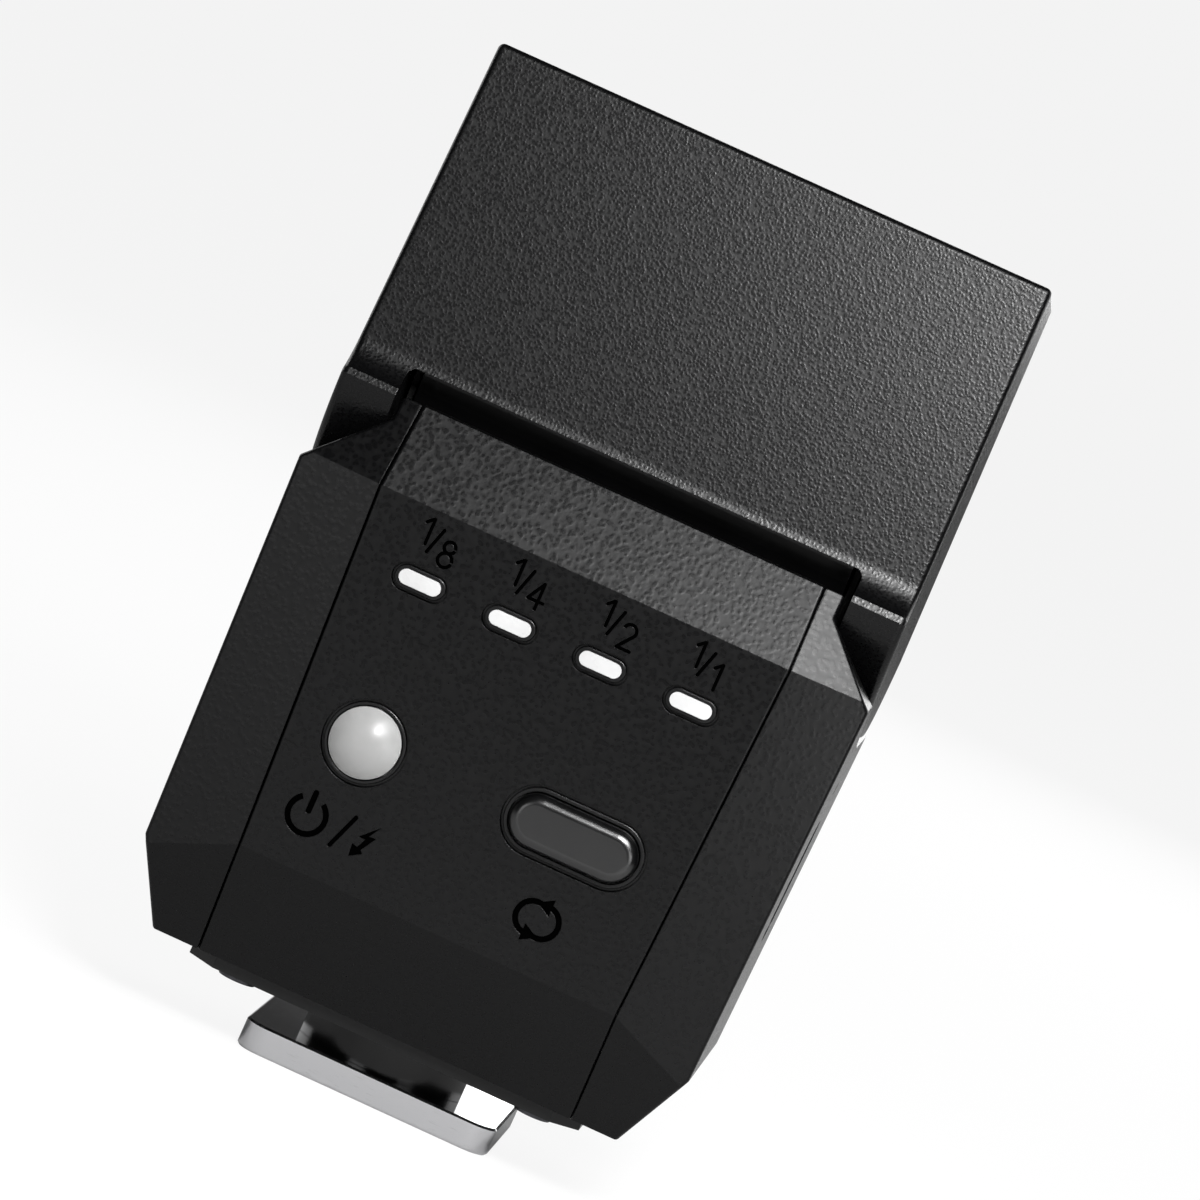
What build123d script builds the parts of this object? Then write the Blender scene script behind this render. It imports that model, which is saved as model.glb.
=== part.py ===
from build123d import *
import os
from math import cos, sin, radians, sqrt

# Compact hot-shoe flash with a tilting head.  Millimetres, +Z up.
# Origin: centre of the foot plate's underside.  +Y is the way the flash fires,
# the control panel faces -Y, +X is the right-hand side seen from the control panel.

# ---------------------------------------------------------------- driving sizes
# hot-shoe foot (standard shoe size)
FOOT_W = 18.6
FOOT_D = 18.0
FOOT_T = 2.0
FOOT_CORNER_R = 1.8
STEM_W = 11.9
STEM_R = 6.6
STEM_TOP = 4.7
BASE_W = 28.9
BASE_T = 0.9
BASE_REAR_Y = -12.4
BASE_FRONT_Y = 6.5
BASE_CHAMFER = 2.0

# body
BODY_BOTTOM_Z = STEM_TOP + BASE_T
BODY_FRONT_Y = 9.0
BODY_REAR_Y = -16.3
FRONT_CORNER_R = 1.4
BODY_EDGE_R = 0.3
WALL = 1.4
CHAMFER_Z = 11.5
SHOULDER_Z = 39.0
NECK_X = 16.2
NECK_FOOT_Z = 43.6
PANEL_TOP_Z = 45.2
BOTTOM_HALF_W = 17.15
LOW_HALF_W = 20.0
TOP_HALF_W = 20.8
BOTTOM_FOLD_Z = 13.6
TOP_FOLD_Z = 39.5
BOTTOM_EDGE_Y = -13.3
PANEL_TOP_Y = -13.5
SIDE_FACET_Y = -15.4
SIDE_FACET_X = 20.4

# control panel, half widths at its four heights
PANEL_T = 1.6
PANEL_HALF = {BODY_BOTTOM_Z: 13.75, BOTTOM_FOLD_Z: 13.8, TOP_FOLD_Z: 14.95, PANEL_TOP_Z: 14.7}
PANEL_GAP = 0.1
GROOVE_R = 0.2

# hinge and head
HINGE_Y = -1.2
HINGE_Z = 49.5
EAR_R = 13.7
SADDLE_R = 14.3
NECK_SADDLE_R = 12.45
DRUM_R = 9.6
DRUM_WALL = 1.2
DRUM_HALF_W = 16.0
CHEEK_T = 2.6
PIN_R = 1.5
PIN_FIT = 0.03
HEAD_HALF_W = 20.8
HEAD_TOP_HALF_W = 20.3
EAR_INNER_X = 16.65
HEAD_EDGE_R = 0.45
HEAD_WALL = 1.1
REAR_TOP = (-9.1, 69.3)
REAR_LOW = (-12.8, 47.0)
FRONT_TOP = (6.0, 67.6)
CUTOUT_Z = 47.2
EAR_ROOF_Z = 54.5
PIN_BITE = 1.8

# flash window in the head's front
LENS_W = 32.0
LENS_H = 13.5
LENS_T = 1.25
LENS_FLANGE_T = 0.5
SHEET_T = 0.6
LENS_Z = 58.6
BEZEL_T = 1.4
BEZEL_GAP = 0.1
BEZEL_RIM = 0.75
BEZEL_Z = (41.9, 66.7)
WINDOW_SINK = 0.2

# controls on the rear panel
LED_Z = 34.6
LED_X = (-9.9, -3.3, 3.3, 9.9)
LED_RING = (4.0, 2.0)
LED_WINDOW = (3.0, 1.05)
BUTTON_Z = 23.3
POWER_X = -8.9
POWER_D = 4.9
POWER_RING_D = 5.95
POWER_DOME = 1.0
MODE_X = 6.4
MODE_SIZE = (9.2, 3.8)
MODE_RING = (10.35, 4.95)
MODE_DOME = 0.85
BUTTON_FIT = 0.1
BUTTON_TRAVEL = 0.4
ICON_Z = 17.3
ENGRAVE = 0.2
STROKE = 0.24
BOLD_STROKE = 0.4
DIGIT_H = 1.8
RING_GROOVE = 0.2
RING_SINK = 0.12

# circuit board and what it carries
BOARD_Y = -11.2
BOARD_T = 1.0
BOARD_W = 26.0
BOARD_Z = (14.5, 37.0)
USB_Z = 25.3
USB_Y = -4.4
USB_FACE_X = 20.15
SIDE_LED_Z = 32.3
SWITCH_FACE_Y = BOARD_Y - 1.5
SWITCH_GAP = 0.05
FLANGE_Y = (BODY_REAR_Y + PANEL_T + 0.05, BODY_REAR_Y + PANEL_T + 0.55)
PLUNGER_Y = (BODY_REAR_Y + PANEL_T + 0.5, SWITCH_FACE_Y - SWITCH_GAP)
PLUNGER_R = 0.9

# reflector and flash tube
TROUGH_HALF_W = 13.0
TROUGH_HALF_H = 6.2
TROUGH_DEEP = 6.4
TROUGH_WALL = 0.4
TUBE_R = 1.5
TUBE_Y = -0.4
TUBE_HALF = 14.6

# leads to the head
LEAD_Y = 0.6
LEAD_R = 0.4

# centre contact
PIN_CONTACT_R = 1.1
PIN_SHOULDER_Z = FOOT_T + 0.6
SPRING_WIRE_R = 0.15
BUSH_HOLE_R = 1.6

# screws: places, and radii of heads, shanks and the holes they pass through
BOARD_SCREWS = [(-11.4, 31.0), (11.4, 31.0), (-11.4, 18.2), (11.4, 17.5)]
BASE_SCREWS = [(-11.0, 3.0), (11.0, 3.0), (-11.0, -8.0), (11.0, -8.0)]
CRADLE_SCREWS = [(-11.0, 2.8), (11.0, 2.8)]
FOOT_SCREWS = [(-3.9, -4.2), (3.9, -4.2), (-3.9, 4.2), (3.9, 4.2)]
HEAD_SCREWS = [(-18.1, 43.4), (18.1, 43.4), (-18.1, 64.9), (18.1, 64.9)]
SCREW_HEAD_R = 1.35
SCREW_HEAD_T = 0.7
CROSS_W = 0.3
CROSS_DEPTH = 0.35
BOSS_R = 1.25

# clearances
TINY = 0.02
OVER = 1.0

# outlines that several pieces share
BODY_OUTLINE = [(BOTTOM_HALF_W, BODY_BOTTOM_Z), (LOW_HALF_W, CHAMFER_Z), (TOP_HALF_W, SHOULDER_Z),
                (NECK_X, NECK_FOOT_Z), (NECK_X, PANEL_TOP_Z)]
DECK_Z = HINGE_Z - SADDLE_R
CRADLE_REAR_Y = -2.9

os.makedirs("parts", exist_ok=True)


# ---------------------------------------------------------------- helpers
FROM_BASE = (Align.CENTER, Align.CENTER, Align.MIN)


def save(solid, node):
    """Write one sub-part."""
    solid.label = node
    export_step(solid, f"parts/{node}.step")


def box(x0, x1, y0, y1, z0, z1):
    """A block between two corners."""
    return Pos((x0 + x1) / 2, (y0 + y1) / 2, (z0 + z1) / 2) * Box(x1 - x0, y1 - y0, z1 - z0)


def mirrored(shape):
    """A shape and its mirror image across the centre plane."""
    return shape + mirror(shape, about=Plane.YZ)


def side_prism(points, x0, x1):
    """A side profile, given as (y, z) points, stretched from x0 to x1."""
    face = make_face(Polyline(*[(0, y, z) for y, z in points], close=True))
    return Pos(x0, 0, 0) * extrude(face, amount=x1 - x0, dir=(1, 0, 0))


def rear_prism(points, y0, y1):
    """An outline seen from the rear, given as (x, z) points, stretched from y0 to y1."""
    face = make_face(Polyline(*[(x, 0, z) for x, z in points], close=True))
    return Pos(0, y0, 0) * extrude(face, amount=y1 - y0, dir=(0, 1, 0))


def disc_x(radius, y, z, x0, x1):
    """A cylinder that lies along X."""
    return Pos(x0, y, z) * Rot(0, 90, 0) * Cylinder(radius, x1 - x0, align=FROM_BASE)


def disc_y(radius, x, z, y0, y1):
    """A cylinder that lies along Y."""
    return Pos(x, y0, z) * Rot(-90, 0, 0) * Cylinder(radius, y1 - y0, align=FROM_BASE)


def disc_z(radius, x, y, z0, z1):
    """An upright cylinder."""
    return Pos(x, y, z0) * Cylinder(radius, z1 - z0, align=FROM_BASE)


def oblong_y(width, height, x, z, y0, y1):
    """A round-ended slot shape that lies along Y."""
    core = (width - height) / 2
    shape = box(x - core, x + core, y0, y1, z - height / 2, z + height / 2)
    return shape + disc_y(height / 2, x - core, z, y0, y1) + disc_y(height / 2, x + core, z, y0, y1)


def below(solid, origin, normal):
    """The part of a solid on the back side of a plane."""
    return split(solid, bisect_by=Plane(origin=origin, z_dir=normal), keep=Keep.BOTTOM)


def hinge_point(radius, angle):
    """A (y, z) point at a radius and an angle from the tilt axis."""
    return (HINGE_Y + radius * cos(radians(angle)), HINGE_Z + radius * sin(radians(angle)))


def panel_half_width(z):
    """Half width of the control panel at a height."""
    heights = sorted(PANEL_HALF)
    for low, high in zip(heights, heights[1:]):
        if z <= high:
            share = (z - low) / (high - low)
            return PANEL_HALF[low] + share * (PANEL_HALF[high] - PANEL_HALF[low])
    return PANEL_HALF[heights[-1]]


# ---------------------------------------------------------------- body shell
def body_block():
    """The faceted outer form of the body, before it is hollowed."""
    outline = BODY_OUTLINE + [(-x, z) for x, z in reversed(BODY_OUTLINE)]
    block = rear_prism(outline, BODY_REAR_Y - 1, BODY_FRONT_Y)
    side = [(BODY_FRONT_Y, BODY_BOTTOM_Z), (BOTTOM_EDGE_Y, BODY_BOTTOM_Z), (BODY_REAR_Y, BOTTOM_FOLD_Z),
            (BODY_REAR_Y, TOP_FOLD_Z), (PANEL_TOP_Y, PANEL_TOP_Z), (BODY_FRONT_Y, PANEL_TOP_Z)]
    block = block & side_prism(side, -TOP_HALF_W - 1, TOP_HALF_W + 1)
    for hand in (-1, 1):
        corner = (hand * PANEL_HALF[TOP_FOLD_Z], BODY_REAR_Y, TOP_FOLD_Z)
        block = below(block, corner, side_facet_normal(hand))
        block = below(block, corner, top_corner_normal(hand))
    return block


def side_facet_normal(hand):
    """Outward normal of a side facet, which turns away from the control panel's leaning edge."""
    low, top = PANEL_HALF[BOTTOM_FOLD_Z], PANEL_HALF[TOP_FOLD_Z]
    rise = Vector(hand * (top - low), 0, TOP_FOLD_Z - BOTTOM_FOLD_Z)
    run = Vector(hand * (SIDE_FACET_X - top), SIDE_FACET_Y - BODY_REAR_Y, 0)
    return run.cross(rise) * hand


def top_corner_normal(hand):
    """Outward normal of the small facet above a side facet."""
    run = Vector(hand * (SIDE_FACET_X - PANEL_HALF[TOP_FOLD_Z]), SIDE_FACET_Y - BODY_REAR_Y, 0)
    rise = Vector(0, PANEL_TOP_Y - BODY_REAR_Y, PANEL_TOP_Z - TOP_FOLD_Z)
    return run.cross(rise) * hand


def hinge_clearance(radius, x0, x1):
    """The room that the head sweeps above the deck, between two side planes."""
    room = disc_x(radius, HINGE_Y, HINGE_Z, x0, x1)
    return room + box(x0, x1, HINGE_Y - 1, BODY_FRONT_Y + 1, HINGE_Z - radius, PANEL_TOP_Z + 1)


def is_front_corner(edge):
    """True for the long upright edges between the front and the sides."""
    middle = edge @ 0.5
    return abs((edge % 0.5).Z) > 0.7 and middle.Y > BODY_FRONT_Y - TINY and abs(middle.X) > LOW_HALF_W - 2


def is_side_edge(edge):
    """True for the edges of the side facets, behind the front face."""
    middle = edge @ 0.5
    level = abs((edge % 0.5).X) > 0.9
    return not level and middle.Y < BODY_FRONT_Y - 0.1 and abs(middle.X) > PANEL_HALF[BODY_BOTTOM_Z] - 0.8


def main_housing():
    """Front, sides, bottom and neck of the body in one moulding, open at the rear for the panel."""
    shell = body_block()
    shell = fillet(shell.edges().filter_by(is_front_corner), FRONT_CORNER_R)
    shell = fillet(shell.edges().filter_by(is_side_edge), BODY_EDGE_R)
    reach = TOP_HALF_W + 2
    ear_room = EAR_INNER_X - 0.3
    shell -= mirrored(hinge_clearance(SADDLE_R, ear_room, reach))
    shell -= disc_x(NECK_SADDLE_R, HINGE_Y, HINGE_Z, -ear_room, ear_room)
    shell -= box(-ear_room, ear_room, CRADLE_REAR_Y, BODY_FRONT_Y + 1, DECK_Z, PANEL_TOP_Z + 1)
    # inside
    hollow = [(BOTTOM_HALF_W - WALL, BODY_BOTTOM_Z + WALL), (LOW_HALF_W - WALL, CHAMFER_Z),
              (TOP_HALF_W - WALL, SHOULDER_Z - WALL - 1), (-TOP_HALF_W + WALL, SHOULDER_Z - WALL - 1),
              (-LOW_HALF_W + WALL, CHAMFER_Z), (-BOTTOM_HALF_W + WALL, BODY_BOTTOM_Z + WALL)]
    cavity = rear_prism(hollow, SIDE_FACET_Y + WALL + 0.5, BODY_FRONT_Y - WALL)
    roof = [(SIDE_FACET_Y - 2, 0), (BODY_FRONT_Y, 0), (BODY_FRONT_Y, DECK_Z - WALL), (HINGE_Y, DECK_Z - WALL),
            hinge_point(SADDLE_R + WALL, 240), hinge_point(SADDLE_R + WALL, 225),
            (SIDE_FACET_Y, SHOULDER_Z - WALL)]
    cavity &= side_prism(roof, -reach, reach)
    shell -= cavity
    shell -= rear_prism([(-12.9, 7.0), (12.9, 7.0), (13.4, 37.0), (-13.4, 37.0)], BODY_REAR_Y, -10)
    shell -= panel_band(PANEL_GAP, PANEL_T + 2 * TINY)
    shell -= usb_shape(4.6, 1.7, TOP_HALF_W - 4, TOP_HALF_W + OVER)
    shell -= disc_x(0.5, USB_Y, SIDE_LED_Z, TOP_HALF_W - 3, TOP_HALF_W + 1)
    for x, y in BASE_SCREWS:
        shell -= disc_z(0.62, x, y, BODY_BOTTOM_Z - 1, BODY_BOTTOM_Z + WALL + 1)
    shell -= disc_z(BUSH_HOLE_R, 0, 0, BODY_BOTTOM_Z - 1, BODY_BOTTOM_Z + WALL + 1)
    for x, y in CRADLE_SCREWS:
        shell -= disc_z(0.8, x, y, DECK_Z - WALL - 1, DECK_Z + 1)
    shell -= lead_slot(DECK_Z - WALL - 1, DECK_Z + 1)
    return shell


def panel_band(gap, thickness):
    """The skin of the three rear facets between the two grooves, widened by a gap."""
    half = [(PANEL_HALF[z] + gap, z) for z in sorted(PANEL_HALF)]
    half[0] = (half[0][0], BODY_BOTTOM_Z - gap)
    half[-1] = (half[-1][0], PANEL_TOP_Z + gap)
    outline = half + [(-x, z) for x, z in reversed(half)]
    plate = rear_prism(outline, BODY_REAR_Y - 1, BODY_REAR_Y + 8)
    tilt_low = (BODY_REAR_Y - BOTTOM_EDGE_Y) / (BOTTOM_FOLD_Z - BODY_BOTTOM_Z)
    tilt_top = (PANEL_TOP_Y - BODY_REAR_Y) / (PANEL_TOP_Z - TOP_FOLD_Z)
    over = 1.0
    low_y = BOTTOM_EDGE_Y - tilt_low * over
    top_y = PANEL_TOP_Y + tilt_top * over
    low_t = thickness * sqrt(1 + tilt_low ** 2)
    top_t = thickness * sqrt(1 + tilt_top ** 2)
    out = 0 if gap == 0 else 1
    band = [(low_y - out, BODY_BOTTOM_Z - over), (BODY_REAR_Y - out, BOTTOM_FOLD_Z),
            (BODY_REAR_Y - out, TOP_FOLD_Z), (top_y - out, PANEL_TOP_Z + over),
            (top_y + top_t, PANEL_TOP_Z + over), (BODY_REAR_Y + thickness, TOP_FOLD_Z),
            (BODY_REAR_Y + thickness, BOTTOM_FOLD_Z), (low_y + low_t, BODY_BOTTOM_Z - over)]
    return plate & side_prism(band, -TOP_HALF_W, TOP_HALF_W)


# ---------------------------------------------------------------- engraved marks
def stroke_bar(start, end, depth_y, width=STROKE):
    """A straight engraved stroke between two (x, z) points, with round ends."""
    (x0, z0), (x1, z1) = start, end
    length = sqrt((x1 - x0) ** 2 + (z1 - z0) ** 2)
    along = Vector((x1 - x0) / length, 0, (z1 - z0) / length)
    centre = ((x0 + x1) / 2, BODY_REAR_Y + depth_y, (z0 + z1) / 2)
    bar = Plane(origin=centre, x_dir=along, z_dir=(0, -1, 0)) * SlotCenterToCenter(length, width)
    return extrude(bar, amount=depth_y + 0.5, dir=(0, -1, 0))


def ring_mark(x, z, radius, width, start, end, depth_y):
    """An engraved arc, from one angle to another, about (x, z)."""
    steps = max(4, round(abs(end - start) / 15))
    angles = [radians(start + (end - start) * i / steps) for i in range(steps + 1)]
    far, near = radius + width / 2, radius - width / 2
    outer = [(x + far * cos(a), z + far * sin(a)) for a in angles]
    inner = [(x + near * cos(a), z + near * sin(a)) for a in reversed(angles)]
    return rear_prism(outer + inner, BODY_REAR_Y - OVER, BODY_REAR_Y + depth_y)


def join(shapes):
    """One shape from a list of shapes."""
    whole = shapes[0]
    for shape in shapes[1:]:
        whole = whole + shape
    return whole


def digit(sign, x, z, height):
    """The strokes of one generic numeral, with its foot at (x, z)."""
    wide = height * 0.5
    if sign == "1":
        return [stroke_bar((x, z), (x, z + height), ENGRAVE),
                stroke_bar((x, z + height), (x - wide * 0.5, z + height * 0.78), ENGRAVE)]
    if sign == "2":
        return [ring_mark(x, z + height * 0.72, wide * 0.5, STROKE, -30, 170, ENGRAVE),
                stroke_bar((x + wide * 0.43, z + height * 0.6), (x - wide * 0.5, z), ENGRAVE),
                stroke_bar((x - wide * 0.5, z), (x + wide * 0.55, z), ENGRAVE)]
    if sign == "4":
        return [stroke_bar((x + wide * 0.2, z), (x + wide * 0.2, z + height), ENGRAVE),
                stroke_bar((x + wide * 0.2, z + height), (x - wide * 0.6, z + height * 0.3), ENGRAVE),
                stroke_bar((x - wide * 0.6, z + height * 0.3), (x + wide * 0.6, z + height * 0.3), ENGRAVE)]
    return [ring_mark(x, z + height * 0.27, height * 0.27, STROKE, 0, 350, ENGRAVE),
            ring_mark(x, z + height * 0.77, height * 0.22, STROKE, 0, 350, ENGRAVE)]


def fraction(below_line, x):
    """A power step, such as one over eight, above its window."""
    marks = digit("1", x - 0.75, LED_Z + 2.5, DIGIT_H)
    marks.append(stroke_bar((x - 0.45, LED_Z + 2.05), (x + 0.1, LED_Z + 3.85), ENGRAVE))
    return join(marks + digit(below_line, x + 0.9, LED_Z + 1.55, DIGIT_H))


def power_mark(x, z, radius):
    """An open ring with a bar at its gap."""
    ring = ring_mark(x, z, radius, BOLD_STROKE, -235, 55, ENGRAVE)
    return ring + stroke_bar((x, z + 0.3), (x, z + radius + 0.3), ENGRAVE, BOLD_STROKE)


def bolt_mark(x, z):
    """A lightning stroke that ends in an arrow head."""
    zigzag = [(0.65, 1.3), (-0.55, 0.1), (-0.05, 0.1), (-0.35, -0.55), (-0.75, -0.45),
              (-0.65, -1.35), (0.15, -0.85), (-0.05, -0.65), (0.6, 0.45), (0.1, 0.4)]
    points = [(x + px, z + pz) for px, pz in zigzag]
    return rear_prism(points, BODY_REAR_Y - OVER, BODY_REAR_Y + ENGRAVE)


def cycle_mark(x, z):
    """Two half rings that chase each other, each with an arrow head at its end."""
    marks = []
    for turn in (0, 180):
        side = 1 if turn == 0 else -1
        marks.append(ring_mark(x + side * 0.35, z, 1.15, BOLD_STROKE, turn - 100, turn + 78, ENGRAVE))
        tip = [(-0.45, 1.1), (0.62, 1.72), (0.62, 0.5)]
        points = [(x + side * px, z + side * pz) for px, pz in tip]
        marks.append(rear_prism(points, BODY_REAR_Y - OVER, BODY_REAR_Y + ENGRAVE))
    return join(marks)


def rear_panel():
    """The control panel: three facets, with its windows, button holes and engraved marks."""
    plate = panel_band(0, PANEL_T)
    plate = fillet(plate.edges().filter_by(is_groove_edge), GROOVE_R)
    outside, inside = BODY_REAR_Y - OVER, BODY_REAR_Y + PANEL_T + OVER
    for x in LED_X:
        plate -= oblong_y(*LED_RING, x, LED_Z, outside, inside)
    plate -= disc_y(POWER_RING_D / 2, POWER_X, BUTTON_Z, outside, inside)
    plate -= oblong_y(*MODE_RING, MODE_X, BUTTON_Z, outside, inside)
    for sign, x in zip("8421", LED_X):
        plate -= fraction(sign, x)
    plate -= power_mark(-10.5, ICON_Z, 1.3)
    plate -= stroke_bar((-8.3, ICON_Z - 1.2), (-7.4, ICON_Z + 1.2), ENGRAVE, 0.3)
    plate -= bolt_mark(-6.2, ICON_Z)
    plate -= cycle_mark(MODE_X, ICON_Z)
    for x, z in BOARD_SCREWS:
        post = disc_y(1.3, x, z, BODY_REAR_Y + PANEL_T - TINY, BOARD_Y)
        plate += post
        plate -= disc_y(0.55, x, z, BODY_REAR_Y + PANEL_T, BOARD_Y + 1)
    return plate


def is_groove_edge(edge):
    """True for the panel's long outer edges, beside the grooves."""
    middle = edge @ 0.5
    wide = abs(abs(middle.X) - panel_half_width(middle.Z)) < 0.3
    upright = abs((edge % 0.5).Z) > 0.8
    return wide and upright and abs(middle.Y - facet_y(middle.Z)) < 0.2


def facet_y(z):
    """Where the outer surface of the control panel lies at a height."""
    if z < BOTTOM_FOLD_Z:
        share = (z - BODY_BOTTOM_Z) / (BOTTOM_FOLD_Z - BODY_BOTTOM_Z)
        return BOTTOM_EDGE_Y + (BODY_REAR_Y - BOTTOM_EDGE_Y) * share
    if z > TOP_FOLD_Z:
        share = (z - TOP_FOLD_Z) / (PANEL_TOP_Z - TOP_FOLD_Z)
        return BODY_REAR_Y + (PANEL_TOP_Y - BODY_REAR_Y) * share
    return BODY_REAR_Y


# ---------------------------------------------------------------- foot and base
def base_plate():
    """The thin plate between the body and the foot, with its rear corners cut off."""
    w = BASE_W / 2
    plan = [(-w, BASE_FRONT_Y), (-w, BASE_REAR_Y + BASE_CHAMFER), (-w + BASE_CHAMFER, BASE_REAR_Y),
            (w - BASE_CHAMFER, BASE_REAR_Y), (w, BASE_REAR_Y + BASE_CHAMFER), (w, BASE_FRONT_Y)]
    outline = make_face(Polyline(*plan, close=True))
    plate = Pos(0, 0, STEM_TOP) * extrude(outline, amount=BASE_T, dir=(0, 0, 1))
    for x, y in BASE_SCREWS:
        plate -= disc_z(0.65, x, y, STEM_TOP - 1, BODY_BOTTOM_Z + 1)
    plate -= disc_z(BUSH_HOLE_R, 0, 0, STEM_TOP - 1, BODY_BOTTOM_Z + 1)
    return plate


def foot_stem():
    """The round glossy neck of the foot, with flats at both sides."""
    stem = disc_z(STEM_R, 0, -1.0, FOOT_T, STEM_TOP) + disc_z(STEM_R, 0, 1.0, FOOT_T, STEM_TOP)
    stem &= box(-STEM_W / 2, STEM_W / 2, -STEM_R - 2, STEM_R + 2, FOOT_T, STEM_TOP)
    stem -= disc_z(BUSH_HOLE_R, 0, 0, FOOT_T - 1, STEM_TOP + 1)
    for x, y in FOOT_SCREWS:
        stem -= disc_z(0.75, x, y, FOOT_T - 1, STEM_TOP + 1)
    return stem


def foot_plate():
    """The bright metal plate that slides into the shoe."""
    plate = box(-FOOT_W / 2, FOOT_W / 2, -FOOT_D / 2, FOOT_D / 2, 0, FOOT_T)
    plate = fillet(plate.edges().filter_by(Axis.Z).group_by(Axis.Y)[0], FOOT_CORNER_R)
    plate = chamfer(plate.edges().filter_by(Axis.Z).group_by(Axis.Y)[-1], 1.2)
    plate = chamfer(plate.faces().sort_by(Axis.Z)[-1].edges(), 0.15)
    plate = chamfer(plate.faces().sort_by(Axis.Z)[0].edges(), 0.15)
    plate -= disc_z(2.6, 0, 0, -1, FOOT_T + 1)
    for x, y in FOOT_SCREWS:
        plate -= disc_z(0.75, x, y, -1, FOOT_T + 1)
        plate -= disc_z(SCREW_HEAD_R + 0.05, x, y, -1, 0.8)
    return plate


def contact_insulator():
    """The plastic bush that keeps the centre pin off the metal plate."""
    bush = disc_z(2.58, 0, 0, 0.05, FOOT_T)
    bush -= disc_z(PIN_CONTACT_R + 0.06, 0, 0, -1, FOOT_T + 1)
    return bush


def centre_contact_pin():
    """The sprung pin that takes the firing signal from the camera."""
    pin = disc_z(PIN_CONTACT_R, 0, 0, 0, PIN_SHOULDER_Z)
    pin = chamfer(pin.edges().group_by(Axis.Z)[0], 0.25)
    return pin + disc_z(0.5, 0, 0, PIN_SHOULDER_Z, PIN_SHOULDER_Z + 1)


def contact_spring():
    """The small coil that holds the centre pin down."""
    foot, top = PIN_SHOULDER_Z + SPRING_WIRE_R, BODY_BOTTOM_Z + WALL - SPRING_WIRE_R
    coil = Helix(pitch=0.65, height=top - foot, radius=1.15)
    wire = sweep(Plane(origin=coil @ 0, z_dir=coil % 0) * Circle(SPRING_WIRE_R - TINY), path=coil)
    return Pos(0, 0, foot) * wire


def contact_terminal():
    """The brass disc that the coil bears on, inside the body."""
    return disc_z(2.3, 0, 0, BODY_BOTTOM_Z + WALL, BODY_BOTTOM_Z + WALL + 0.4)


def screw_z(x, y, z_head, length, head_r, shank_r):
    """A small screw that is driven upwards, with a cross recess in its head."""
    body = disc_z(head_r, x, y, z_head, z_head + SCREW_HEAD_T)
    body += disc_z(shank_r, x, y, z_head + SCREW_HEAD_T, z_head + length)
    arm, half, deep = head_r * 0.6, CROSS_W / 2, z_head + CROSS_DEPTH
    body -= box(x - arm, x + arm, y - half, y + half, z_head - OVER, deep)
    return body - box(x - half, x + half, y - arm, y + arm, z_head - OVER, deep)


def screw_y(x, z, y_head, length, head_r, shank_r):
    """A small screw that is driven towards the rear, with a cross recess in its head."""
    body = disc_y(head_r, x, z, y_head - SCREW_HEAD_T, y_head)
    body += disc_y(shank_r, x, z, y_head - length, y_head - SCREW_HEAD_T)
    arm, half, deep = head_r * 0.6, CROSS_W / 2, y_head - CROSS_DEPTH
    body -= box(x - arm, x + arm, deep, y_head + OVER, z - half, z + half)
    return body - box(x - half, x + half, deep, y_head + OVER, z - arm, z + arm)


def foot_screws():
    """Four screws that hold the foot to the base."""
    return join([screw_z(x, y, 0.1, 4.4, SCREW_HEAD_R, 0.72) for x, y in FOOT_SCREWS])


def base_screws():
    """Four screws that hold the base to the body, covered by the neck side of the base."""
    return join([screw_z(x, y, STEM_TOP - SCREW_HEAD_T, 3.2, 1.3, 0.6) for x, y in BASE_SCREWS])


def cradle_screws():
    """Two screws that hold the hinge cradle on the deck."""
    return join([screw_z(x, y, DECK_Z - WALL - SCREW_HEAD_T, 4.6, 1.4, 0.7) for x, y in CRADLE_SCREWS])


def board_screws():
    """Four screws that hold the board to the panel's posts."""
    head_y = BOARD_Y + BOARD_T + SCREW_HEAD_T
    return join([screw_y(x, z, head_y, 3.4, 1.1, 0.53) for x, z in BOARD_SCREWS])


def head_screws():
    """Four screws that hold the front bezel."""
    return join([screw_y(x, z, front_y(z) - TINY, 5.6, 1.2, 0.58) for x, z in HEAD_SCREWS])


# ---------------------------------------------------------------- hinge cradle and pins
def lead_slot(z0, z1):
    """The slot that the leads to the head pass through."""
    return box(-4.0, 4.0, LEAD_Y - 1.2, LEAD_Y + 1.2, z0, z1)


def hinge_cradle():
    """The fixed drum between the head's ears: a curved wall, two cheeks and a base on the deck."""
    start, end = 182, 322
    steps = 20
    angles = [start + (end - start) * i / steps for i in range(steps + 1)]
    sector = [hinge_point(DRUM_R, a) for a in angles] + [(HINGE_Y + 3.4, HINGE_Z), (HINGE_Y - 3.4, HINGE_Z)]
    end_x = DRUM_HALF_W - 0.2
    drum = side_prism(sector, -end_x, end_x) & disc_x(DRUM_R, HINGE_Y, HINGE_Z, -end_x, end_x)
    drum += disc_x(4.2, HINGE_Y, HINGE_Z, -end_x, end_x)
    drum += box(-end_x, end_x, CRADLE_REAR_Y + 0.1, 6.6, DECK_Z, HINGE_Z - 7.5)
    inside = end_x - CHEEK_T
    hollow = disc_x(DRUM_R - DRUM_WALL, HINGE_Y, HINGE_Z, -inside, inside)
    drum -= hollow + box(-inside, inside, HINGE_Y - 9, HINGE_Y + 9, HINGE_Z, HINGE_Z + 12)
    drum -= disc_x(PIN_R + PIN_FIT, HINGE_Y, HINGE_Z, -20, 20)
    drum -= lead_slot(DECK_Z - 1, HINGE_Z - 5)
    for x, y in CRADLE_SCREWS:
        drum -= disc_z(0.72, x, y, DECK_Z - 1, DECK_Z + 4)
    return drum


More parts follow.
